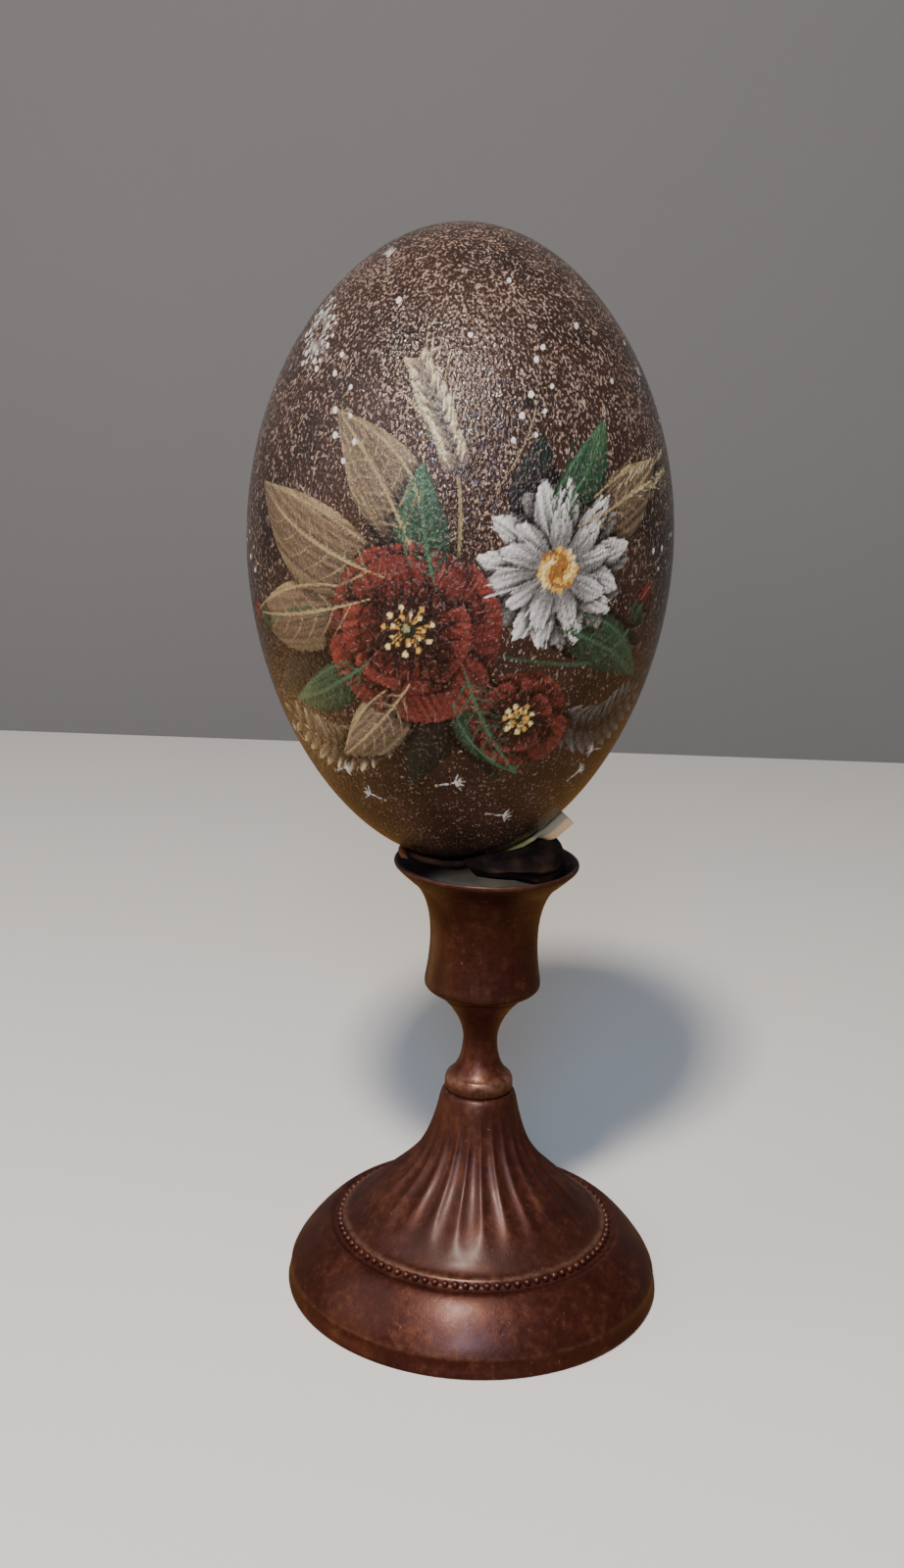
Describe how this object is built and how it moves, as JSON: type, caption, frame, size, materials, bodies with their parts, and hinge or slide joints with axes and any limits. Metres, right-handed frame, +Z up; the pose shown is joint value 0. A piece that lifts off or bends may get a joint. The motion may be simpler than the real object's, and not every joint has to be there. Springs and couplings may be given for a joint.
{
  "type": "painted emu egg on candlestick stand",
  "caption": "Dark grained emu egg painted with a flower spray, resting on a leather pad in the flared cup of a fluted, bead-edged copper candlestick used as its stand.",
  "frame": {"origin": "on the surface the foot stands on, below the middle of the object's extent; the stand's own axis is 5.1 mm from it towards +X, because the egg sits off centre", "axes": "+Z up along the stand's axis; the painted side faces -Y; +X is to the right as seen from the painted side"},
  "size_m": [0.0949, 0.0886, 0.2339],
  "materials": {
    "painted_shell": "dark brown grained eggshell with a painted design, satin varnish",
    "patinated_copper": "satin, red-brown patina, brighter on the raised edges",
    "dark_leather": "matte, dark brown, pressed",
    "cream_card": "matte cream, yellowed at its edges"
  },
  "bodies": {
    "root": {"egg": "painted_shell", "candle_cup": "patinated_copper", "stem": "patinated_copper", "foot": "patinated_copper", "pad": "dark_leather", "shim_strip": "cream_card"}
  },
  "joints": []
}
